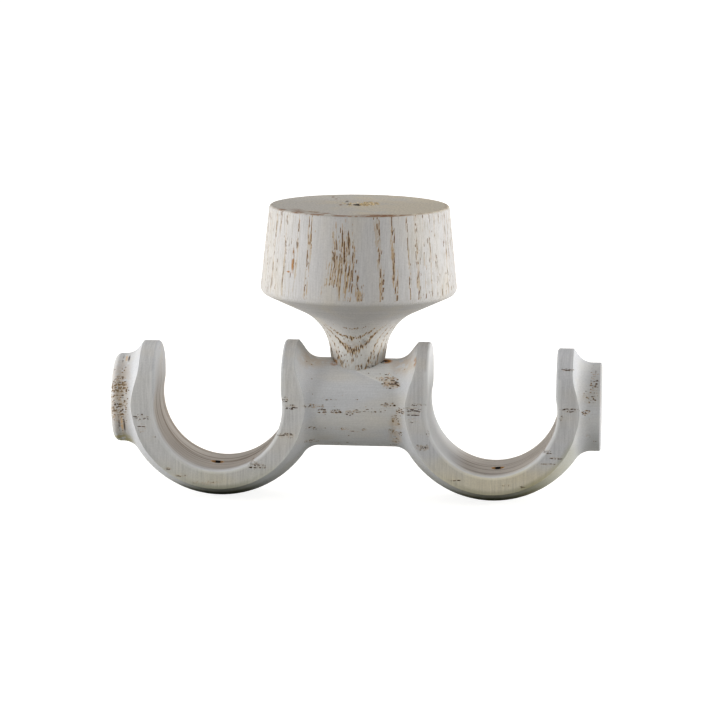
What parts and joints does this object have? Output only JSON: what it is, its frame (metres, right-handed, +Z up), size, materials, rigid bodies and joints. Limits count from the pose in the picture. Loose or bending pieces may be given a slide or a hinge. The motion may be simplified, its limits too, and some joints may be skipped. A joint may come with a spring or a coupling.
{
  "type": "double curtain pole ceiling bracket",
  "caption": "Turned whitewashed wooden ceiling bracket: a round rose and slim neck over a cross arm whose open-topped bulb cups carry curtain poles side by side.",
  "frame": {"origin": "centre of the rose's flat ceiling face, at the mouth of its pilot hole", "axes": "+Z up at the ceiling, +X along the arm from one cup to the other, Y along the poles"},
  "size_m": [0.1208, 0.0486, 0.073],
  "materials": {
    "rose_wood": "grey-white wash rubbed back to brown in the upright pores",
    "arm_wood": "grey-white wash rubbed back to brown in the pores along the arm"
  },
  "bodies": {
    "root": {"ceiling_rose": "rose_wood", "cup_arm": "arm_wood"}
  },
  "joints": []
}
